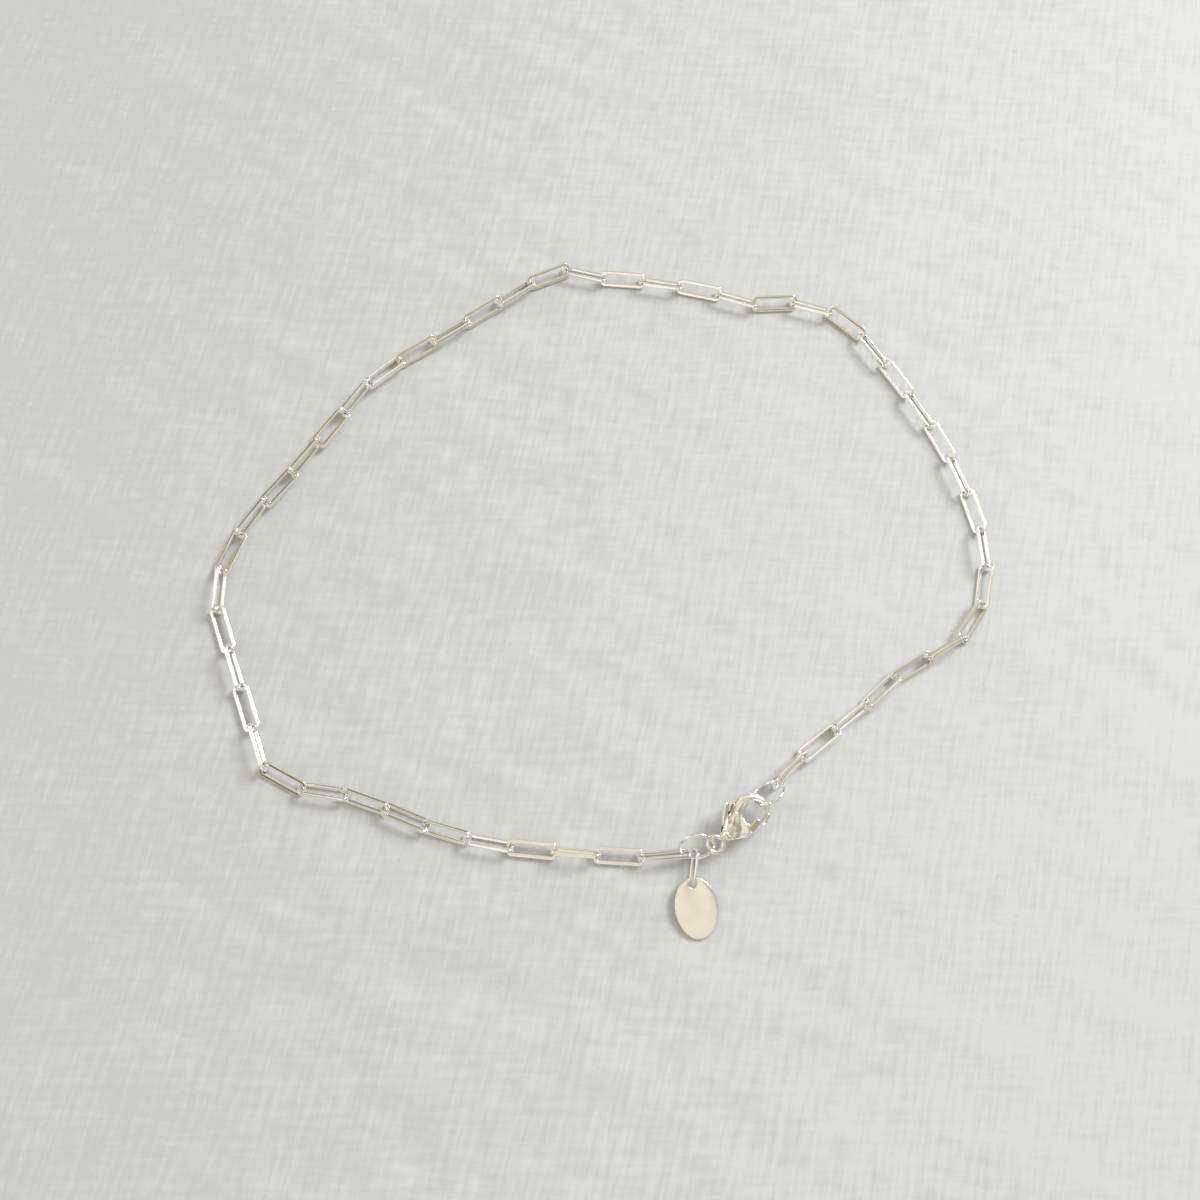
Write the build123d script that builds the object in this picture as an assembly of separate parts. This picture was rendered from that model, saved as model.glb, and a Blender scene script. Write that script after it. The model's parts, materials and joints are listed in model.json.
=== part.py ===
from build123d import *
import os
from math import asin, cos, radians, sin

# A closed chain anklet of 50 long box links with a trigger clasp and an oval tag, lying
# flat on a surface. Sizes are millimetres and angles are degrees.

# One link: a flat-sided wire frame.
pitch = 4.8
link_length = 5.72
link_width = 2.0
wire_width = 0.42
wire_depth = 0.45
wire_round = 0.12
outer_corner = 0.7
inner_corner = 0.28
bar_sink = 0.28

# The route starts where the first link, longer than the rest, hangs on its ring.
start_x = 13.83
start_y = -33.87
start_heading = 194.6
first_longer = 0.44
quarter_roll = 45.0

# Jump rings: middle radius, wire radius, place, heading of the level diameter, lean.
ring_radius = 1.86
ring_wire = 0.21
tag_side_at = (14.577, -33.201, 2.142)
tag_side_heading = 10.8
tag_side_lean = 34.3
catch_at = (21.66, -25.98, 1.808)
catch_heading = 46.8
catch_lean = -38.6
split_angle = 4.0
split_at = -60.0

# The tag's ring is a flat-sided oval that stands on its long side.
tag_ring_half = 1.9
tag_ring_end = 0.87
tag_ring_wire = 0.19
tag_ring_at = (14.69, -35.27, 1.044)
tag_ring_heading = -88
tag_ring_lean = 12

# Tag: an oval disc with one hole, its hole end raised.
tag_length = 6.7
tag_width = 4.8
tag_thick = 0.45
tag_hole = 0.43
tag_hole_in = 2.6
tag_round = 0.12
tag_hole_at = (14.82, -37.17, 1.1)
tag_heading = 108.6

# Clasp: X runs from the eye to the crown, Y to the thumb arm, Z through its thickness.
clasp_at = (16.64, -32.55, 2.22)
clasp_heading = 57.0
clasp_roll = 10
eye_x = -0.1
eye_radius = 0.86
eye_wire = 0.27
neck_radius = 0.6
collar_radius = 0.68
collar_length = 0.4
belly_thick = 1.9
spine_thick = 1.4
hook_thick = 1.15
hook_radius = 2.17
opening_radius = 1.38
slot_thick = 0.86
lever_thick = 0.7
pivot_x = 2.75
pivot_y = -0.5
rivet_radius = 0.3
rivet_length = 1.04
hub_radius = 0.7
knob_radius = 0.38
pivot_gap = 0.04

# Stretches of the chain, in order. kink is the right turn before a stretch's first link
# and bend the right turn before each of its other links; lean is the first link's roll
# away from an even quarter turn, and step what each later link adds to it.
stretches = (
    # name, links, kink, bend, lean, step
    ("ring end", 1, 0, 0, 12, 0),
    ("front run", 3, 8.5, 1, 20, 0),
    ("front bow", 3, 5, 6, 2, -6),
    ("front wave", 2, -3, -11, -10, 5),
    ("corner", 1, 20, 0, 8, 0),
    ("left low run", 4, 42, 0, 32, -3),
    ("left bulge", 2, 21, 20, 20, 14),
    ("left turn in", 2, 12.1, 5, 36, -10),
    ("left run", 3, -3, 0, 35, 1),
    ("left shoulder", 1, 14.1, 0, 20, 0),
    ("top left run", 4, 6.23, -0.5, 0, 3),
    ("top left turn", 1, 12.1, 0, 5, 0),
    ("top corner", 1, 36, 0, 8, 0),
    ("top bow", 4, -9, 4, 6, 0),
    ("top step", 1, -19, 0, 0, 0),
    ("top right turn", 2, 18, 25.5, 5, -5),
    ("right run", 3, 15, 2, 6, 0),
    ("right bow", 3, 5, 5.5, 3, -1),
    ("right bulge", 2, 11, 15, 0, 0),
    ("right turn in", 2, 22.9, 26, 5, 20),
    ("clasp run", 1, -1.1, 0, 8, 0),
    ("clasp wave", 1, -11, 0, -3, 0),
    ("clasp run 2", 2, 4, 0, -20, -2),
    ("clasp end", 1, -5, 0, -22, 0),
)


def rest_height(roll):
    """Height of a link's middle when its lower edge touches the surface."""
    tilt = radians(abs(roll))
    flat_half = link_width / 2 - wire_round
    deep_half = wire_depth / 2 - wire_round
    return flat_half * sin(tilt) + deep_half * cos(tilt) + wire_round


def chain_planes():
    """Plane of each link: X along the chain, Z the link's own normal."""
    headings = []
    rolls = []
    heading = start_heading
    for name, links, kink, bend, lean, lean_step in stretches:
        for i in range(links):
            if headings:
                heading -= kink if i == 0 else bend
            side = 1 if len(headings) % 2 == 0 else -1
            rolls.append(side * quarter_roll + lean + lean_step * i)
            headings.append(heading)
    rests = [rest_height(roll) for roll in rolls]
    planes = []
    joint = Vector(start_x, start_y, 0)
    for i, heading in enumerate(headings):
        along = Vector(1, 0, 0).rotate(Axis.Z, heading)
        inward = Vector(sin(radians(heading)), -cos(radians(heading)), 0)
        tilt = radians(rolls[i])
        normal = Vector(0, 0, 1) * cos(tilt) + inward * sin(tilt)
        beside = rests[max(i - 1, 0):i + 2]
        height = max(rests[i], max(beside) - bar_sink)
        step = pitch + first_longer if i == 0 else pitch
        middle = joint + along * (step / 2) + Vector(0, 0, height)
        planes.append(Plane(origin=middle, x_dir=along, z_dir=normal))
        joint = joint + along * step
    return planes


def plate(outline, thick):
    return extrude(Pos(0, 0, -thick / 2) * outline, amount=thick)


def rounded_plate(outline, thick, radius):
    """Plate about its middle plane with its upper and lower rims rounded."""
    solid = plate(outline, thick)
    faces = solid.faces().sort_by(Axis.Z)
    return fillet(faces[0].edges() + faces[-1].edges(), radius)


def link_shape(length):
    hole_length = length - 2 * wire_width
    hole_width = link_width - 2 * wire_width
    outline = RectangleRounded(length, link_width, outer_corner)
    hole = RectangleRounded(hole_length, hole_width, inner_corner)
    return rounded_plate(outline - hole, wire_depth, wire_round)


def leaning_plane(at, heading, lean):
    """X level along the heading, Y upwards but leaning to the heading's left."""
    level = Vector(1, 0, 0).rotate(Axis.Z, heading)
    left = Vector(0, 1, 0).rotate(Axis.Z, heading)
    up = Vector(0, 0, 1) * cos(radians(lean)) + left * sin(radians(lean))
    return Plane(origin=at, x_dir=level, z_dir=level.cross(up))


def jump_ring(plane, split=0, split_at=0):
    """Round wire ring; split is the angle left open at split_at."""
    ring = Torus(ring_radius, ring_wire, major_angle=360 - split)
    return plane.location * Rot(0, 0, split_at) * ring


def oval_ring():
    """Round wire bent to a flat-sided oval."""
    path = SlotOverall(2 * tag_ring_half, 2 * tag_ring_end).wire()
    corner = path @ 0
    section = Plane(origin=corner, z_dir=path % 0) * Circle(tag_ring_wire)
    return sweep(section, path=path)


def oval_tag():
    """Oval disc about its hole, its far end on -X."""
    middle = Pos(-tag_hole_in, 0) * Ellipse(tag_length / 2, tag_width / 2)
    disc_plate = rounded_plate(middle, tag_thick, tag_round) - plate(Circle(tag_hole), 1)
    return fillet(disc_plate.edges().filter_by(GeomType.CIRCLE), tag_round / 2)


def tag_plane():
    """X points from the far end, which rests on the surface, up to the hole."""
    reach = tag_hole_in + tag_length / 2 - tag_round
    rise = asin((tag_hole_at[2] - tag_thick / 2) / reach)
    level = Vector(1, 0, 0).rotate(Axis.Z, tag_heading)
    side = Vector(0, 1, 0).rotate(Axis.Z, tag_heading)
    along = level * cos(rise) + Vector(0, 0, 1) * sin(rise)
    return Plane(origin=tag_hole_at, x_dir=along, z_dir=along.cross(side))


def disc(x, y, radius):
    return Pos(x, y) * Circle(radius)


def hull_of(*discs):
    """Sketch stretched round some circles, each given as x, y and radius."""
    edges = [edge for x, y, radius in discs for edge in disc(x, y, radius).edges()]
    return make_hull(edges)


def lever_sweep():
    """Room in the body for the lever over its travel."""
    hub = (pivot_x, pivot_y, hub_radius + 0.12)
    thumb_side = hull_of(hub, (1.7, 0.15, 0.36), (1.7, 1.15, 0.36), (4.3, 2.6, 0.7))
    gate_side = hull_of(hub, (3.9, -2.0, 0.65), (4.7, -1.6, 0.6))
    return thumb_side + gate_side


def clasp_body():
    """Eye, neck, belly, spine and hook in one solid, slotted for the lever."""
    belly = hull_of((1.45, -0.15, neck_radius), (3.1, -1.4, 0.7), (3.05, 0.1, 1.1))
    spine = hull_of((2.6, 0.15, 0.75), (4.9, 0.5, 1.1))
    opening = disc(5.45, -0.85, opening_radius)
    corners = ((5.38, -3.0), (5.38, -1.9), (4.5, -1.2), (3.75, -1.5), (3.6, -3.0))
    mouth = Polygon(*corners, align=None)
    body = rounded_plate(disc(5.12, -0.52, hook_radius) - opening, hook_thick, 0.15)
    body += rounded_plate(belly, belly_thick, 0.4)
    body += rounded_plate(spine, spine_thick, 0.3)
    body -= plate(opening + mouth, 2 * belly_thick)
    body += Pos(eye_x, 0) * Torus(eye_radius, eye_wire)
    collar = Pos(1.24, -0.2) * Rot(0, 90, 0) * Cylinder(collar_radius, collar_length)
    body += fillet(collar.edges().filter_by(GeomType.CIRCLE), 0.15)
    body -= plate(lever_sweep(), slot_thick)
    body -= plate(disc(pivot_x, pivot_y, rivet_radius + pivot_gap), rivet_length + 2 * pivot_gap)
    tip = hull_of((5.5, -2.33, 0.28), (6.25, -2.15, 0.28))
    return body + rounded_plate(tip, hook_thick, 0.15)


def clasp_lever():
    """Thumb arm with its knob, hub and gate, closed."""
    shoulder = hull_of((2.3, 0.1, 0.35), (2.25, 0.9, 0.24))
    thumb = hull_of((2.25, 0.9, 0.24), (3.62, 1.78, 0.26))
    thumb_end = hull_of((3.62, 1.78, 0.26), (3.85, 2.05, 0.2))
    heel = hull_of((3.1, -1.0, 0.5), (3.85, -1.85, 0.42))
    gate = hull_of((3.85, -1.85, 0.42), (4.85, -1.83, 0.4))
    arm = rounded_plate(disc(pivot_x, pivot_y, hub_radius), lever_thick, 0.1)
    for outline in (shoulder, thumb, thumb_end, heel, gate):
        arm += rounded_plate(outline, lever_thick, 0.1)
    arm += Pos(3.87, 2.1) * Sphere(knob_radius)
    return arm - plate(disc(pivot_x, pivot_y, rivet_radius + pivot_gap), 2)


def clasp_rivet():
    pin = Pos(pivot_x, pivot_y) * Cylinder(rivet_radius, rivet_length)
    return chamfer(pin.edges().filter_by(GeomType.CIRCLE), 0.06)


def build_pieces():
    clasp = leaning_plane(clasp_at, clasp_heading, 90 - clasp_roll).location
    oval_plane = leaning_plane(tag_ring_at, tag_ring_heading, tag_ring_lean)
    tag_side = leaning_plane(tag_side_at, tag_side_heading, tag_side_lean)
    catch = leaning_plane(catch_at, catch_heading, catch_lean)
    link = link_shape(link_length)
    first = link_shape(link_length + first_longer)
    pieces = {}
    for i, plane in enumerate(chain_planes()):
        pieces["link_%02d" % (i + 1)] = plane.location * (link if i else first)
    pieces["ring_tag_side"] = jump_ring(tag_side)
    pieces["ring_catch"] = jump_ring(catch, split_angle, split_at)
    pieces["tag_ring"] = oval_plane.location * oval_ring()
    pieces["tag"] = tag_plane().location * oval_tag()
    pieces["clasp_body"] = clasp * clasp_body()
    pieces["clasp_lever"] = clasp * clasp_lever()
    pieces["clasp_rivet"] = clasp * clasp_rivet()
    return pieces


# The origin is the middle of the anklet's box on the surface it lies on.
pieces = build_pieces()
box = Compound(list(pieces.values())).bounding_box()
shift = Vector(-(box.min.X + box.max.X) / 2, -(box.min.Y + box.max.Y) / 2, -box.min.Z)
os.makedirs("parts", exist_ok=True)
for name, piece in pieces.items():
    export_step(Pos(shift) * piece, "parts/%s.step" % name)
print("shift", shift, "size", box.size)
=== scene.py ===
import json
import math

import bpy
import numpy as np
from mathutils import Matrix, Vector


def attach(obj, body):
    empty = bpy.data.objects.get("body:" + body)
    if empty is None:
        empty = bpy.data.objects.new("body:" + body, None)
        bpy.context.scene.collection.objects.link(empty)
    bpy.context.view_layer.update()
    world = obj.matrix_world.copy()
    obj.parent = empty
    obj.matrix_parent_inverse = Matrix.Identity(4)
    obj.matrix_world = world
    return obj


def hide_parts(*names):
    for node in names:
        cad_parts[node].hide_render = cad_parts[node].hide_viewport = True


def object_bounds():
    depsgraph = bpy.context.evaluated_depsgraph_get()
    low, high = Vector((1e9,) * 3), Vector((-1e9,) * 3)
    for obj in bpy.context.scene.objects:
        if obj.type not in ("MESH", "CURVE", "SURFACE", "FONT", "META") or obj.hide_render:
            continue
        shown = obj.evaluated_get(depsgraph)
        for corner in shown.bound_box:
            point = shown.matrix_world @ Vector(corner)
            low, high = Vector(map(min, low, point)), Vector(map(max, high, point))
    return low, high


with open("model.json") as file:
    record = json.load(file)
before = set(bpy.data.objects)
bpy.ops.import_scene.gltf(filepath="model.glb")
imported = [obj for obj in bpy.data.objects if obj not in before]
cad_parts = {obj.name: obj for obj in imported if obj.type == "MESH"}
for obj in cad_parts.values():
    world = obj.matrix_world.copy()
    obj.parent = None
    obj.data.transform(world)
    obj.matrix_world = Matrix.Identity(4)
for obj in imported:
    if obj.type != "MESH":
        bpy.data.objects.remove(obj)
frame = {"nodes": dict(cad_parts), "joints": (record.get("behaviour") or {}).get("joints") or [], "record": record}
cadLow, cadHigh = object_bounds()
mm = 0.001
tau = 2 * math.pi
print("frame loaded:", len(frame["nodes"]), "nodes")


# reading the frame

def nodeTriangles(name):
    mesh = frame["nodes"][name].data
    points = np.empty(len(mesh.vertices) * 3)
    mesh.vertices.foreach_get("co", points)
    mesh.calc_loop_triangles()
    corners = np.empty(len(mesh.loop_triangles) * 3, dtype=np.int64)
    mesh.loop_triangles.foreach_get("vertices", corners)
    return points.reshape(-1, 3), corners.reshape(-1, 3)


def surveyNode(name):
    # A piece's own axes are the directions in which its surface spreads most, less and
    # least. Each triangle counts by its area times the spread of its three corners and of
    # its middle, and the middle counts nine times.
    points, corners = nodeTriangles(name)
    tri = points[corners]
    area = np.linalg.norm(np.cross(tri[:, 1] - tri[:, 0], tri[:, 2] - tri[:, 0]), axis=1)
    weight = (tri.mean(axis=1) * area[:, None]).sum(axis=0) / area.sum()
    away = tri - weight
    mid = away.mean(axis=1)
    spread = np.einsum("t,tci,tcj->ij", area, away, away)
    spread += 9 * np.einsum("t,ti,tj->ij", area, mid, mid)
    axes = np.linalg.eigh(spread)[1].T[::-1].copy()
    axes[2] *= 1 if axes[2][2] > 0 else -1
    axes[1] = np.cross(axes[2], axes[0])
    along = (points - weight) @ axes.T
    low, high = along.min(axis=0), along.max(axis=0)
    centre = weight + (low + high) / 2 @ axes
    return {"centre": centre, "axes": axes, "size": high - low, "weight": weight - centre}


# building meshes

def meshFrom(name, points, faces):
    # Turns the faces round if the volume they enclose comes out negative.
    a, b, c = (points[faces[:, i]] for i in (0, 1, 2))
    if np.einsum("ij,ij->", a, np.cross(b, c)) < 0:
        faces = faces[:, ::-1]
    mesh = bpy.data.meshes.new(name)
    keep = [list(dict.fromkeys(face)) for face in faces.tolist()]
    mesh.from_pydata(points.tolist(), [], keep)
    mesh.polygons.foreach_set("use_smooth", np.ones(len(mesh.polygons), dtype=bool))
    mesh.update()
    return mesh


def gridFaces(rows, columns, closedRows):
    # Four neighbours of a grid make a face; the columns always close, the rows if asked.
    last = rows if closedRows else rows - 1
    u, v = np.meshgrid(np.arange(last), np.arange(columns), indexing="ij")
    nextU, nextV = (u + 1) % rows, (v + 1) % columns
    quads = [u * columns + v, nextU * columns + v, nextU * columns + nextV, u * columns + nextV]
    return np.stack(quads, axis=-1).reshape(-1, 4)


def capFaces(start, pole, columns):
    ring = start + np.arange(columns)
    return np.stack([ring, np.roll(ring, -1), np.full(columns, pole)], axis=-1)


def gridMesh(name, grid):
    rows, columns = grid.shape[:2]
    return meshFrom(name, grid.reshape(-1, 3), gridFaces(rows, columns, True))


def cappedMesh(name, grid):
    rows, columns = grid.shape[:2]
    poles = grid[[0, -1]].mean(axis=1)
    points = np.vstack([grid.reshape(-1, 3), poles])
    sides = gridFaces(rows, columns, False)
    first = capFaces(0, rows * columns, columns)[:, [1, 0, 2]]
    end = capFaces((rows - 1) * columns, rows * columns + 1, columns)
    caps = np.vstack([first, end])[:, [0, 1, 2, 2]]
    return meshFrom(name, points, np.vstack([sides, caps]))


def finishPiece(mesh, material, body, slotName, *nodes):
    piece = bpy.data.objects.new(mesh.name, mesh)
    bpy.context.scene.collection.objects.link(piece)
    mesh.materials.clear()
    mesh.materials.append(material)
    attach(piece, body)
    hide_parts(*nodes)
    return piece


# wire shapes

def roundedLoop(halfLong, halfShort, corner, perCorner, perRun):
    # A closed line of four quarter circles joined by straight runs: each point is a corner
    # centre plus the corner radius along the outward direction, which stays put on a run.
    turn = np.linspace(0, tau / 4, perCorner)
    angle = np.concatenate([turn + k * tau / 4 for k in range(4)])
    signs = np.array([[1, 1], [-1, 1], [-1, -1], [1, -1]])
    inset = np.array([halfLong - corner, halfShort - corner])
    centres = np.repeat(signs * inset, perCorner, axis=0)
    outward = np.stack([np.cos(angle), np.sin(angle)], axis=1)
    spots = centres + corner * outward
    share = np.linspace(0, 1, perRun + 2)[1:-1, None]
    parts = []
    for k in range(4):
        arc = slice(k * perCorner, (k + 1) * perCorner)
        here, there = spots[arc][-1], spots[(k + 1) * perCorner % len(spots)]
        parts.append(np.hstack([spots[arc], outward[arc]]))
        run = here + share * (there - here)
        parts.append(np.hstack([run, np.repeat(outward[arc][-1:], perRun, axis=0)]))
    line = np.vstack(parts)
    return line[:, :2], line[:, 2:]


def squareProfile(width, depth, power, count):
    # Superellipse: cosine and sine of the angle, each raised to 2 / power.
    angle = np.arange(count) / count * tau
    c, s = np.cos(angle), np.sin(angle)
    bend = 2 / power
    return np.stack([width / 2 * np.sign(c) * abs(c) ** bend,
                     depth / 2 * np.sign(s) * abs(s) ** bend], axis=1)


def carryProfile(spots, outward, profile, twist=None):
    # Each profile point sits at the line's point plus its first number outwards and its
    # second number along the loop's axis, after the profile is turned by the twist.
    twist = np.zeros(len(spots)) if twist is None else twist
    c, s = np.cos(twist)[:, None], np.sin(twist)[:, None]
    across = profile[:, 0] * c - profile[:, 1] * s
    rise = profile[:, 0] * s + profile[:, 1] * c
    flat = spots[:, None, :] + across[:, :, None] * outward[:, None, :]
    return np.concatenate([flat, rise[:, :, None]], axis=2)


def intoPlace(grid, survey):
    return grid @ survey["axes"] + survey["centre"]


# materials

def newTree(name):
    material = bpy.data.materials.new(name)
    material.use_nodes = True
    tree = material.node_tree
    tree.nodes.clear()
    return material, tree


def addNode(tree, kind, inputs=None, **settings):
    node = tree.nodes.new(kind)
    for key, value in settings.items():
        setattr(node, key, value)
    for key, value in (inputs or {}).items():
        if isinstance(value, bpy.types.NodeSocket):
            tree.links.new(value, node.inputs[key])
        else:
            node.inputs[key].default_value = value
    return node


handlingLook = {
    # how much longer than wide the scratches are, for two directions, and between which
    # values of their noises a scratch and a smudge come in
    "stretches": ((1.0, 12.0, 3.0), (10.0, 1.0, 2.5)), "scratchFrom": 0.24, "scratchTo": 0.42,
    "smudgeFrom": 0.38, "smudgeTo": 0.66,
}


def buildHandling():
    # Fine scratches in two directions and soft smudges, as a height and two masks.
    group = bpy.data.node_groups.new("handling", "ShaderNodeTree")
    face = group.interface
    for name, value in (("Scratches per mm", 6.0), ("Smudges per mm", 0.35), ("Turn", 0.4)):
        socket = face.new_socket(name, in_out="INPUT", socket_type="NodeSocketFloat")
        socket.default_value = value
    for name in ("Scratch Height", "Scratch Mask", "Smudge Mask"):
        face.new_socket(name, in_out="OUTPUT", socket_type="NodeSocketFloat")
    given = addNode(group, "NodeGroupInput")
    where = addNode(group, "ShaderNodeTexCoord").outputs["Object"]
    turn = addNode(group, "ShaderNodeCombineXYZ", {"Z": given.outputs["Turn"]})
    fine = addNode(group, "ShaderNodeMath", {0: given.outputs["Scratches per mm"], 1: 1000.0},
                   operation="MULTIPLY")
    broad = addNode(group, "ShaderNodeMath", {0: given.outputs["Smudges per mm"], 1: 1000.0},
                    operation="MULTIPLY")
    lines = []
    for stretch in handlingLook["stretches"]:
        spot = addNode(group, "ShaderNodeMapping", {
            "Vector": where, "Rotation": turn.outputs[0], "Scale": stretch},
            vector_type="TEXTURE")
        lines.append(addNode(group, "ShaderNodeTexNoise", {
            "Vector": spot.outputs[0], "Scale": fine.outputs[0], "Detail": 3.0,
            "Roughness": 0.6}).outputs["Fac"])
    both = addNode(group, "ShaderNodeMath", {0: lines[0], 1: lines[1]}, operation="MULTIPLY")
    mask = addNode(group, "ShaderNodeMapRange", {
        "Value": both.outputs[0], "From Min": handlingLook["scratchFrom"],
        "From Max": handlingLook["scratchTo"]})
    smudge = addNode(group, "ShaderNodeTexNoise", {
        "Vector": where, "Scale": broad.outputs[0], "Detail": 4.0, "Roughness": 0.55})
    soft = addNode(group, "ShaderNodeMapRange", {
        "Value": smudge.outputs["Fac"], "From Min": handlingLook["smudgeFrom"],
        "From Max": handlingLook["smudgeTo"]}, interpolation_type="SMOOTHSTEP")
    addNode(group, "NodeGroupOutput", {
        "Scratch Height": both.outputs[0], "Scratch Mask": mask.outputs[0],
        "Smudge Mask": soft.outputs[0]})
    return group


handling = buildHandling()
scratchDepth = 0.01 * mm


def silverMaterial(name, look):
    # Polished silver: clean metal and a warmer, duller film where the smudges lie.
    material, tree = newTree(name)
    marks = addNode(tree, "ShaderNodeGroup", node_tree=handling)
    marks.inputs["Scratches per mm"].default_value = look["scratches"]
    marks.inputs["Smudges per mm"].default_value = look["smudges"]
    marks.inputs["Turn"].default_value = look["turn"]
    colour = addNode(tree, "ShaderNodeMix", {
        0: marks.outputs["Smudge Mask"], 6: (*look["clean"], 1), 7: (*look["film"], 1)},
        data_type="RGBA")
    gloss = addNode(tree, "ShaderNodeMapRange", {
        "Value": marks.outputs["Smudge Mask"], "To Min": look["shine"], "To Max": look["dull"]})
    rough = addNode(tree, "ShaderNodeMath", {
        0: marks.outputs["Scratch Mask"], 1: look["scuff"], 2: gloss.outputs[0]},
        operation="MULTIPLY_ADD")
    bump = addNode(tree, "ShaderNodeBump", {
        "Height": marks.outputs["Scratch Height"], "Strength": look["depth"],
        "Distance": scratchDepth})
    shader = addNode(tree, "ShaderNodeBsdfPrincipled", {
        "Base Color": colour.outputs[2], "Metallic": 1.0, "Roughness": rough.outputs[0],
        "Normal": bump.outputs[0]})
    addNode(tree, "ShaderNodeOutputMaterial", {"Surface": shader.outputs[0]})
    return material


# chain links

linkLook = {"scratches": 7.0, "smudges": 0.4, "turn": 0.5, "clean": (0.97, 0.955, 0.91),
            "film": (0.93, 0.9, 0.83), "shine": 0.07, "dull": 0.16, "scuff": 0.08,
            "depth": 0.25}
linkWire = {"width": 0.42, "corner": 0.7, "power": 5.0, "profilePoints": 28,
            "cornerPoints": 8, "runPoints": 5, "twist": 2.2, "seed": 41}
linkSilver = silverMaterial("linkSilver", linkLook)


def buildLink(name, number):
    # Flat-sided wire carried round a rounded oblong, with a slight waver in its twist:
    # the sum of two sine waves round the loop, each link with its own start.
    survey = surveyNode(name)
    long, short, depth = survey["size"] / mm
    half = linkWire["width"] / 2
    spots, outward = roundedLoop(long / 2 - half, short / 2 - half, linkWire["corner"] - half,
                                 linkWire["cornerPoints"], linkWire["runPoints"])
    profile = squareProfile(linkWire["width"], depth, linkWire["power"],
                            linkWire["profilePoints"])
    draw = np.random.default_rng(linkWire["seed"] + number)
    start = draw.uniform(0, tau, 2)
    around = np.arctan2(spots[:, 1], spots[:, 0])
    waver = np.sin(around + start[0]) + 0.6 * np.sin(3 * around + start[1])
    grid = carryProfile(spots, outward, profile, np.radians(linkWire["twist"]) * waver)
    mesh = gridMesh("chainLink%02d" % number, intoPlace(grid * mm, survey))
    return finishPiece(mesh, linkSilver, "anklet", "silver_chain", name)


linkNames = sorted(name for name in frame["nodes"] if name.startswith("link_"))
for number, name in enumerate(linkNames, 1):
    buildLink(name, number)
print("links built:", len(linkNames))


# jump rings and the tag's ring

ringLook = {"scratches": 8.0, "smudges": 0.5, "turn": 1.1, "clean": (0.97, 0.955, 0.915),
            "film": (0.93, 0.9, 0.83), "shine": 0.06, "dull": 0.14, "scuff": 0.07,
            "depth": 0.2}
ringWire = {"wire": 0.42, "profilePoints": 24, "loopPoints": 96, "split": 4.0}
ovalRing = {"wire": 0.38, "profilePoints": 20, "cornerPoints": 14, "runPoints": 6}
ringSilver = silverMaterial("ringSilver", ringLook)


def buildJumpRing(name, pieceName, isSplit):
    # Round wire carried round a circle: a split one stops short of its missing side, which
    # lies opposite the way its surface's weight has moved from the middle.
    survey = surveyNode(name)
    radius = survey["size"][:2].max() / mm / 2 - ringWire["wire"] / 2
    gap = math.radians(ringWire["split"]) / 2 if isSplit else 0
    away = -(survey["axes"] @ survey["weight"])
    start = math.atan2(away[1], away[0]) if isSplit else 0
    angle = start + gap + np.linspace(0, tau - 2 * gap, ringWire["loopPoints"],
                                      endpoint=isSplit)
    outward = np.stack([np.cos(angle), np.sin(angle)], axis=1)
    profile = squareProfile(ringWire["wire"], ringWire["wire"], 2, ringWire["profilePoints"])
    grid = intoPlace(carryProfile(radius * outward, outward, profile) * mm, survey)
    make = cappedMesh if isSplit else gridMesh
    return finishPiece(make(pieceName, grid), ringSilver, "anklet", "silver_ring", name)


def buildTagRing():
    # Round wire carried round an oval of two half circles and two straight runs.
    survey = surveyNode("tag_ring")
    long, short = survey["size"][:2] / mm / 2 - ovalRing["wire"] / 2
    spots, outward = roundedLoop(long, short, short, ovalRing["cornerPoints"],
                                 ovalRing["runPoints"])
    profile = squareProfile(ovalRing["wire"], ovalRing["wire"], 2, ovalRing["profilePoints"])
    grid = intoPlace(carryProfile(spots, outward, profile) * mm, survey)
    return finishPiece(gridMesh("tagRing", grid), ringSilver, "anklet", "silver_ring",
                       "tag_ring")


buildJumpRing("ring_tag_side", "tagSideRing", False)
buildJumpRing("ring_catch", "catchRing", True)
buildTagRing()
print("rings built")


# tag

tagLook = {"scratches": 5.0, "smudges": 0.3, "turn": 0.9, "clean": (0.97, 0.955, 0.925),
           "film": (0.95, 0.93, 0.88), "shine": 0.18, "dull": 0.26, "scuff": 0.03,
           "depth": 0.08}
tagShape = {"hole": 0.43, "holeIn": 2.6, "edge": 0.11, "crown": 0.03, "roundPoints": 120,
            "facePoints": 16, "rimPoints": 6}
tagSilver = silverMaterial("tagSilver", tagLook)


def tagSection(halfThick):
    # Once round the tag's section, as share of the way from the hole's rim to the oval's
    # rim, shift outwards in mm and height: the upper face bulges by the crown as 4s(1 - s),
    # quarter circles turn over both rims, and the underside mirrors the top.
    edge, crown = tagShape["edge"], tagShape["crown"]
    share = np.linspace(0, 1, tagShape["facePoints"])
    turn = np.linspace(0, tau / 4, tagShape["rimPoints"])[1:]
    level = halfThick - crown
    face = np.column_stack([share, edge * (1 - 2 * share), level + crown * 4 * share * (1 - share)])
    drop = level - edge + edge * np.cos(turn)
    rim = np.column_stack([np.ones(len(turn)), edge * (np.sin(turn) - 1), drop])
    bore = np.column_stack([np.zeros(len(turn)), edge * (1 - np.sin(turn)), drop])
    upper = np.vstack([face, rim])
    under = [1, 1, -1]
    return np.vstack([upper, upper[::-1] * under, bore * under, bore[::-1]])


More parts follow.
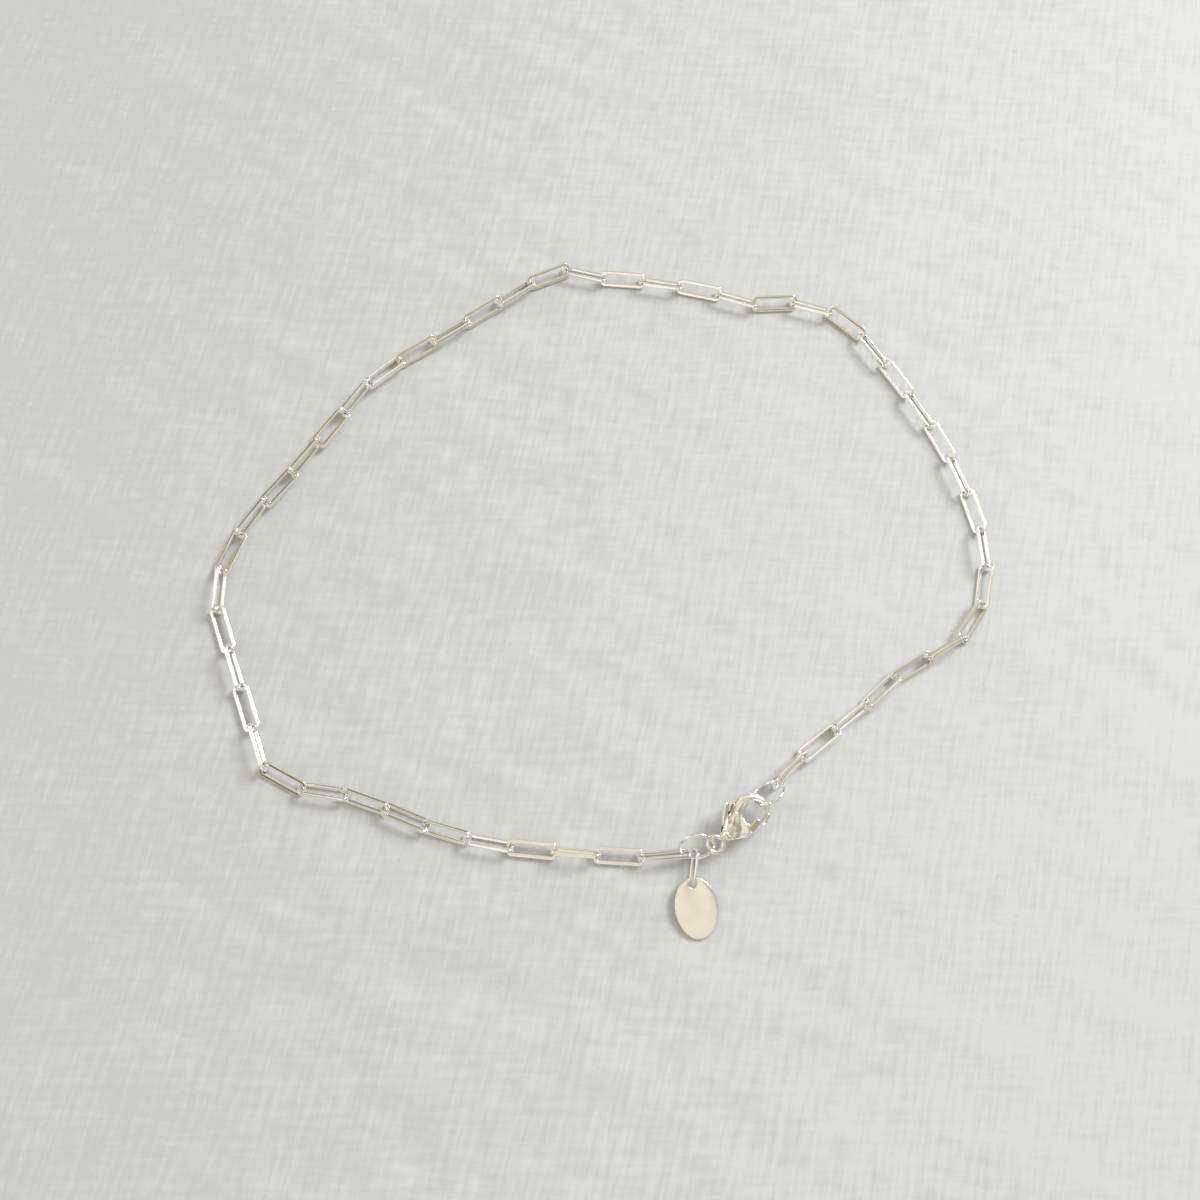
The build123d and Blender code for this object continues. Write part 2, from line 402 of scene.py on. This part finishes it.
def buildTag():
    # The section is swept round the hole. Along each way out from the hole's middle, the
    # oval's rim is the larger root of a quadratic.
    survey = surveyNode("tag")
    half = survey["size"] / mm / 2
    toward = np.sign(-(survey["axes"] @ survey["weight"])[0])
    angle = np.arange(tagShape["roundPoints"]) / tagShape["roundPoints"] * tau
    holeAt = np.array([toward * tagShape["holeIn"], 0])
    ways = np.stack([np.cos(angle), np.sin(angle)], axis=1)
    scaled, shifted = ways / half[:2], holeAt / half[:2]
    a, b, c = (scaled ** 2).sum(axis=1), scaled @ shifted, (shifted ** 2).sum() - 1
    reach = (-b + np.sqrt(b * b - a * c)) / a
    share, shift, height = tagSection(half[2]).T
    away = tagShape["hole"] + share[:, None] * (reach - tagShape["hole"]) + shift[:, None]
    flat = holeAt + away[:, :, None] * ways
    grid = np.dstack([flat, np.broadcast_to(height[:, None], away.shape)])
    mesh = gridMesh("ovalTag", intoPlace(grid * mm, survey))
    return finishPiece(mesh, tagSilver, "anklet", "silver_tag", "tag")


buildTag()
print("tag built")


# clasp

claspLook = {"scratches": 5.0, "smudges": 0.35, "turn": 0.2, "clean": (0.96, 0.945, 0.9),
             "film": (0.92, 0.885, 0.81), "shine": 0.09, "dull": 0.18, "scuff": 0.08,
             "depth": 0.3}
claspCast = {"voxel": 0.035, "smooth": 4, "weld": 0.0005}
leverCast = {"voxel": 0.035, "smooth": 3, "weld": 0.0005}
claspPivot = (2.75, -0.5)  # the pin, in the clasp's own plane, from the middle of its eye
claspHook = (5.45, -0.85)  # the middle of the hook's opening
ridges = {
    # lines over the clasp, as points in its plane and the height there: the crown's crest
    # and the rim beside the opening, which leave a hollow between them; then how the faces
    # fall away on the left and on the right of each line, in mm
    "crest": {"line": ((1.3, -0.25, 0.62), (2.4, 0.15, 0.86), (3.1, 0.45, 0.88),
                       (3.8, 0.68, 0.76), (4.4, 0.78, 0.67), (5.3, 0.86, 0.62),
                       (6.35, 0.5, 0.56), (7.0, -0.4, 0.53), (7.0, -1.4, 0.52),
                       (6.4, -2.1, 0.52)),
              "left": 0.42, "right": 0.4},
    "rim": {"line": ((5.0, 0.72, 0.6), (4.5, 0.35, 0.62), (4.1, -0.1, 0.66),
                     (3.8, -0.85, 0.76), (3.25, -1.7, 0.84)),
            "left": 0.5, "right": 0.36},
}
carving = {
    # how softly a ridge starts to fall, how two ridges blend, the least height in the open
    # and by the pin, the radius along the outline and the lowest that it goes
    "soft": 0.1, "blend": 0.035, "least": 0.5, "leastByPin": 0.63, "edge": 0.3, "lowest": 0.376,
    # what is cut: beyond the collar, above the slot and, near the pin, above the pin's end;
    # the outline is read between two heights; then how often the cut faces are relaxed
    "collarEnd": 1.5, "slotHalf": 0.47, "pinHalf": 0.6, "byPin": 0.5,
    "outline": (0.47, 0.53), "relax": 10, "relaxShare": 0.5,
}
claspSilver = silverMaterial("claspSilver", claspLook)


def claspAxes():
    # The joint's axis is the clasp's Z. Its X follows from the pin and the hook's middle,
    # whose places in the clasp's plane are known.
    pivot = np.array(frame["joints"][0]["pos_m"]) / mm
    hook = next(m for m in frame["record"]["mounts"] if m["name"] == "clasp_hook")
    up = np.array(frame["joints"][0]["axis"])
    between = np.array(hook["pos_m"]) / mm - pivot
    between -= up * (between @ up)
    between /= np.linalg.norm(between)
    side = np.cross(up, between)
    turn = math.atan2(claspHook[1] - claspPivot[1], claspHook[0] - claspPivot[0])
    along = math.cos(turn) * between - math.sin(turn) * side
    axes = np.array([along, np.cross(up, along), up])
    return axes, pivot - claspPivot[0] * axes[0] - claspPivot[1] * axes[1]


def castFrom(node, name, cast):
    # The node's own solid, melted together in small cubes and smoothed as a casting is;
    # worked in millimetres, because the cubes are smaller than the modifier's least size.
    points, corners = nodeTriangles(node)
    solid = bpy.data.meshes.new("solid")
    solid.from_pydata((points / mm).tolist(), [], corners.tolist())
    blank = bpy.data.objects.new("blank", solid)
    bpy.context.scene.collection.objects.link(blank)
    weld = blank.modifiers.new("weld", "WELD")
    weld.merge_threshold = cast["weld"]
    melt = blank.modifiers.new("melt", "REMESH")
    melt.mode = "VOXEL"
    melt.voxel_size = cast["voxel"]
    melt.use_smooth_shade = True
    relax = blank.modifiers.new("relax", "SMOOTH")
    relax.factor = 0.5
    relax.iterations = cast["smooth"]
    ready = blank.evaluated_get(bpy.context.evaluated_depsgraph_get())
    mesh = bpy.data.meshes.new_from_object(ready)
    bpy.data.objects.remove(blank)
    bpy.data.meshes.remove(solid)
    mesh.name = name
    print(name, "faces:", len(mesh.polygons))
    return mesh


def getSpots(mesh):
    spots = np.empty(len(mesh.vertices) * 3)
    mesh.vertices.foreach_get("co", spots)
    return spots.reshape(-1, 3)


def setSpots(mesh, spots):
    mesh.vertices.foreach_set("co", spots.ravel())
    mesh.update()


def curveThrough(points, perRun):
    # A cubic between each two points, whose slope at a point is half of the way from the
    # point before to the one after.
    points = np.array(points)
    ends = np.vstack([2 * points[:1] - points[1:2], points, 2 * points[-1:] - points[-2:-1]])
    a, b, c, d = ends[:-3, None], ends[1:-2, None], ends[2:-1, None], ends[3:, None]
    t = np.linspace(0, 1, perRun, endpoint=False)[:, None]
    runs = b + (c - a) / 2 * t + (a - 2.5 * b + 2 * c - d / 2) * t ** 2
    runs += (1.5 * (b - c) + (d - a) / 2) * t ** 3
    return np.vstack([runs.reshape(-1, points.shape[1]), points[-1:]])


def ridgeHeight(flat, ridge):
    # The height at the line's nearest point, less the fall on that side times the distance
    # from it, which starts softly so that the ridge is rounded.
    line = curveThrough(ridge["line"], 6)
    nearest = np.full(len(flat), np.inf)
    height, isRight = np.zeros(len(flat)), np.zeros(len(flat), dtype=bool)
    for start, end in zip(line[:-1], line[1:]):
        run = end[:2] - start[:2]
        share = np.clip((flat - start[:2]) @ run / (run @ run), 0, 1)
        off = flat - start[:2] - share[:, None] * run
        far = np.linalg.norm(off, axis=1)
        closer = far < nearest
        nearest = np.where(closer, far, nearest)
        height = np.where(closer, start[2] + share * (end[2] - start[2]), height)
        isRight = np.where(closer, run[0] * off[:, 1] < run[1] * off[:, 0], isRight)
    fall = np.where(isRight, ridge["right"], ridge["left"])
    return height - fall * (np.hypot(nearest, carving["soft"]) - carving["soft"])


def carvedHeight(flat):
    # The higher of the ridges, blended by the logarithm of their summed exponentials.
    blend = carving["blend"]
    return blend * np.log(sum(np.exp(ridgeHeight(flat, ridge) / blend)
                              for ridge in ridges.values()))


def distanceTo(flat, outline):
    # Distance to the nearest outline point, in blocks so that the table stays small.
    blocks = [np.sqrt(((block[:, None] - outline) ** 2).sum(axis=2)).min(axis=1)
              for block in np.array_split(flat, max(1, len(flat) // 500))]
    return np.concatenate(blocks)


def relaxed(spots, edges, weight, rounds):
    # Each point moves towards the mean of its neighbours, by its own weight.
    count = np.bincount(edges.ravel(), minlength=len(spots))[:, None]
    for _ in range(rounds):
        total = np.zeros_like(spots)
        np.add.at(total, edges[:, 0], spots[edges[:, 1]])
        np.add.at(total, edges[:, 1], spots[edges[:, 0]])
        spots = spots + weight[:, None] * (total / count - spots)
    return spots


def carveBody(mesh):
    # The casting is cut down to the ridges' height, less a quarter circle near its
    # outline, and the cut faces are relaxed; the slot for the lever stays as it is.
    axes, origin = claspAxes()
    spots = (getSpots(mesh) - origin) @ axes.T
    flat, rise = spots[:, :2], abs(spots[:, 2])
    fromPin = np.linalg.norm(flat - np.array(claspPivot), axis=1)
    inBody, byPin = flat[:, 0] > carving["collarEnd"], carving["byPin"]
    low, high = carving["outline"]
    outline = flat[inBody & (rise > low) & (rise < high) & (fromPin > byPin)]
    top = inBody & (rise > np.where(fromPin < byPin, carving["pinHalf"], carving["slotHalf"]))
    edge = carving["edge"]
    inset = edge - np.minimum(distanceTo(flat[top], outline), edge)
    openness = np.clip(fromPin[top] / byPin - 1, 0, 1)
    least = carving["leastByPin"] + openness * (carving["least"] - carving["leastByPin"])
    height = np.maximum(carvedHeight(flat[top]), least)
    height -= edge - np.sqrt(edge ** 2 - inset ** 2)
    kept = np.minimum(rise[top], np.maximum(height, carving["lowest"]))
    spots[top, 2] = np.sign(spots[top, 2]) * kept
    pairs = np.empty(len(mesh.edges) * 2, dtype=np.int64)
    mesh.edges.foreach_get("vertices", pairs)
    weight = np.where(top, carving["relaxShare"], 0.0)
    spots = relaxed(spots, pairs.reshape(-1, 2), weight, carving["relax"])
    setSpots(mesh, spots @ axes + origin)


bodyMesh = castFrom("clasp_body", "claspCasting", claspCast)
carveBody(bodyMesh)
leverMesh = castFrom("clasp_lever", "claspLever", leverCast)
for mesh in (bodyMesh, leverMesh):
    setSpots(mesh, getSpots(mesh) * mm)
finishPiece(bodyMesh, claspSilver, "anklet", "silver_clasp", "clasp_body")
finishPiece(leverMesh, claspSilver, "lever", "silver_clasp", "clasp_lever")


rivetShape = {"dome": 0.05, "points": 32}


def buildRivet():
    # A round pin: its radius shrinks by a quarter circle at each end.
    survey = surveyNode("clasp_rivet")
    size = survey["size"] / mm
    pin = int(np.argmax(size))
    length, radius = size[pin] / 2, np.delete(size, pin).mean() / 2
    dome = rivetShape["dome"]
    quarter = np.linspace(0, tau / 4, 5)
    away = radius - dome + dome * np.sin(quarter)
    height = length - dome + dome * np.cos(quarter)
    away = np.concatenate([away, away[::-1]])[:, None]
    height = np.concatenate([-height, height[::-1]])[:, None]
    angle = np.arange(rivetShape["points"]) / rivetShape["points"] * tau
    grid = np.empty((len(away), len(angle), 3))
    grid[:, :, (pin + 1) % 3] = away * np.cos(angle)
    grid[:, :, (pin + 2) % 3] = away * np.sin(angle)
    grid[:, :, pin] = height
    mesh = cappedMesh("claspRivet", intoPlace(grid * mm, survey))
    return finishPiece(mesh, claspSilver, "anklet", "silver_clasp", "clasp_rivet")


buildRivet()
print("clasp built")


# camera, floor and light

viewing = {
    # degrees; the lens and the film's width, the spot aimed at and the distance from it in mm
    "elevation": 72.6, "roll": 9.7, "lens": 42.63, "film": 36, "aim": (-0.45, -3.44),
    "away": 165.68,
}


def buildCamera():
    rise, roll = math.radians(viewing["elevation"]), math.radians(viewing["roll"])
    look = np.array([0, math.cos(rise), -math.sin(rise)])
    level, above = np.array([1.0, 0, 0]), np.array([0, math.sin(rise), math.cos(rise)])
    right = math.cos(roll) * level + math.sin(roll) * above
    up = math.cos(roll) * above - math.sin(roll) * level
    camera = bpy.data.objects.new("camera", bpy.data.cameras.new("camera"))
    bpy.context.scene.collection.objects.link(camera)
    camera.data.lens = viewing["lens"]
    camera.data.sensor_width = viewing["film"]
    camera.data.clip_start = 0.01
    place = np.array([*viewing["aim"], 0]) - viewing["away"] * look
    matrix = np.eye(4)
    matrix[:3, 0], matrix[:3, 1], matrix[:3, 2] = right, up, -look
    matrix[:3, 3] = place * mm
    camera.matrix_world = Matrix(matrix.tolist())
    bpy.context.scene.camera = camera
    bpy.context.scene.view_settings.view_transform = "Standard"


buildCamera()

board = {
    # the paint's lighter and darker tone; how fast it lightens to the right (per metre), which is
    # # painted light: a falloff of the window lamp's light painted into the board's colour; and
    # # its brush marks: their turn, how much longer than wide they are, how many to a metre
    # # across and how much they count; "cover" is where between the tones the marks lie
    "size": 3.0, "colour": (0.656, 0.658, 0.655), "shade": (0.556, 0.557, 0.552), "paintedLightFalloff": 1.2,
    "strokes": ((1.5, 9.0, 1500.0, 0.42), (0.16, 7.0, 1300.0, 0.3), (-0.35, 5.0, 260.0, 0.28)),
    "cover": (0.4, 0.6), "depth": 0.22, "height": 0.12 * mm, "dullness": 0.6,
}


def buildFloor():
    half, low = board["size"] / 2, cadLow[2]
    corners = np.array([[-1, -1], [1, -1], [1, 1], [-1, 1]]) * half
    mesh = bpy.data.meshes.new("board")
    mesh.from_pydata([(x, y, low) for x, y in corners], [], [(0, 1, 2, 3)])
    floor = bpy.data.objects.new("board", mesh)
    bpy.context.scene.collection.objects.link(floor)
    material, tree = newTree("paintedBoard")
    where = addNode(tree, "ShaderNodeTexCoord").outputs["Object"]
    # Painted light: the tone starts at X times the falloff, so the board is painted lighter to the right and
    # darker to the left, standing in for the window lamp's light falling off; the brush marks add to it.
    side = addNode(tree, "ShaderNodeSeparateXYZ", {0: where}).outputs["X"]
    strokesAndPaintedLight = addNode(tree, "ShaderNodeMath", {0: side, 1: board["paintedLightFalloff"]},
                    operation="MULTIPLY").outputs[0]
    for turn, length, perMetre, share in board["strokes"]:
        spot = addNode(tree, "ShaderNodeMapping", {
            "Vector": where, "Rotation": (0, 0, turn), "Scale": (length, 1.0, 1.0)},
            vector_type="TEXTURE")
        marks = addNode(tree, "ShaderNodeTexNoise", {
            "Vector": spot.outputs[0], "Scale": perMetre, "Detail": 3.0, "Roughness": 0.6})
        strokesAndPaintedLight = addNode(tree, "ShaderNodeMath", {0: marks.outputs["Fac"], 1: share, 2: strokesAndPaintedLight},
                        operation="MULTIPLY_ADD").outputs[0]
    tint = addNode(tree, "ShaderNodeMapRange", {
        "Value": strokesAndPaintedLight, "From Min": board["cover"][0], "From Max": board["cover"][1]})
    colour = addNode(tree, "ShaderNodeMix", {
        0: tint.outputs[0], 6: (*board["shade"], 1), 7: (*board["colour"], 1)},
        data_type="RGBA")
    bump = addNode(tree, "ShaderNodeBump", {
        "Height": strokesAndPaintedLight, "Strength": board["depth"], "Distance": board["height"]})
    shader = addNode(tree, "ShaderNodeBsdfPrincipled", {
        "Base Color": colour.outputs[2], "Roughness": board["dullness"],
        "Normal": bump.outputs[0]})
    addNode(tree, "ShaderNodeOutputMaterial", {"Surface": shader.outputs[0]})
    mesh.materials.append(material)


buildFloor()

lamps = {
    # name: where it hangs, its side and its power, in metres and watts
    "window": {"at": (0.9, 0.99, 1.12), "side": 0.72, "power": 24.0, "colour": (0.9, 0.965, 1.05)},
}
room = {
    # the light from the room by height, from the floor's level to overhead, where it is
    # dim and where it is lighter, and soft cards that stand in it: which way from the
    # anklet, how high, how wide (degrees), how much of their colour shows and the colour;
    # a card fades between the two shares of its width in "cardEdge"
    "dim": ((0.0, (0.24, 0.22, 0.165)), (0.5, (0.27, 0.25, 0.19)), (0.86, (0.5, 0.46, 0.37)),
            (0.95, (0.88, 0.82, 0.69))),
    "light": ((0.0, (0.7, 0.67, 0.58)), (0.5, (0.68, 0.65, 0.55)), (0.86, (0.72, 0.67, 0.56)),
              (0.95, (0.9, 0.84, 0.7))),
    "patch": 2.4, "patchEdge": (0.42, 0.58), "cardEdge": (1.25, 0.75),
    "cards": ((-175, 38, 24, 1.0, (1.15, 1.15, 1.13)), (-160, 16, 12, 0.8, (0.95, 0.94, 0.9)),
              (-92, 20, 15, 0.9, (1.05, 1.03, 0.98)), (-85, 48, 12, 0.6, (0.85, 0.8, 0.66)),
              (127, 17, 10, 0.9, (1.05, 1.03, 1.0)), (158, 14, 9, 0.9, (1.0, 0.99, 0.95)),
              (115, 41, 9, 0.9, (1.05, 1.04, 1.0)), (140, 40, 13, 0.9, (0.26, 0.24, 0.17)),
              (86, 13, 16, 0.9, (0.3, 0.28, 0.2)), (-124, 19, 10, 1.0, (0.19, 0.13, 0.09)),
              (-40, 18, 15, 0.7, (0.4, 0.37, 0.28)), (-5, 67, 8, 0.9, (0.33, 0.3, 0.21)),
              (166, 68, 9, 0.85, (0.38, 0.34, 0.25)), (-123, 67, 8, 0.8, (0.5, 0.49, 0.43))),
}


def rampOver(tree, value, stops):
    ramp = addNode(tree, "ShaderNodeValToRGB", {0: value})
    elements = ramp.color_ramp.elements
    elements[0].position, elements[0].color = stops[0][0], (*stops[0][1], 1)
    elements[1].position, elements[1].color = stops[-1][0], (*stops[-1][1], 1)
    for place, colour in stops[1:-1]:
        elements.new(place).color = (*colour, 1)
    return ramp.outputs[0]


def buildRoom():
    world = bpy.data.worlds.new("room")
    bpy.context.scene.world = world
    world.use_nodes = True
    tree = world.node_tree
    tree.nodes.clear()
    way = addNode(tree, "ShaderNodeTexCoord").outputs["Generated"]
    height = addNode(tree, "ShaderNodeSeparateXYZ", {0: way}).outputs["Z"]
    patches = addNode(tree, "ShaderNodeTexNoise", {
        "Vector": way, "Scale": room["patch"], "Detail": 1.5, "Roughness": 0.5})
    share = addNode(tree, "ShaderNodeMapRange", {
        "Value": patches.outputs["Fac"], "From Min": room["patchEdge"][0],
        "From Max": room["patchEdge"][1]})
    colour = addNode(tree, "ShaderNodeMix", {
        0: share.outputs[0], 6: rampOver(tree, height, room["dim"]),
        7: rampOver(tree, height, room["light"])}, data_type="RGBA").outputs[2]
    outer, inner = room["cardEdge"]
    for turn, rise, wide, amount, tint in room["cards"]:
        turn, rise, wide = (math.radians(angle) for angle in (turn, rise, wide))
        toCard = (math.cos(turn) * math.cos(rise), math.sin(turn) * math.cos(rise),
                  math.sin(rise))
        facing = addNode(tree, "ShaderNodeVectorMath", {0: way, 1: toCard},
                         operation="DOT_PRODUCT").outputs["Value"]
        cover = addNode(tree, "ShaderNodeMapRange", {
            "Value": facing, "From Min": math.cos(wide * outer),
            "From Max": math.cos(wide * inner), "To Max": amount},
            interpolation_type="SMOOTHSTEP")
        colour = addNode(tree, "ShaderNodeMix", {
            0: cover.outputs[0], 6: colour, 7: (*tint, 1)}, data_type="RGBA").outputs[2]
    back = addNode(tree, "ShaderNodeBackground", {"Color": colour})
    addNode(tree, "ShaderNodeOutputWorld", {"Surface": back.outputs[0]})


def buildLights():
    for name, lamp in lamps.items():
        data = bpy.data.lights.new(name, "AREA")
        data.size = lamp["side"]
        data.energy = lamp["power"]
        data.color = lamp["colour"]
        light = bpy.data.objects.new(name, data)
        bpy.context.scene.collection.objects.link(light)
        light.location = lamp["at"]
        light.rotation_mode = "QUATERNION"
        light.rotation_quaternion = (-light.location).to_track_quat("-Z", "Y")


buildRoom()
buildLights()
print("scene lit")
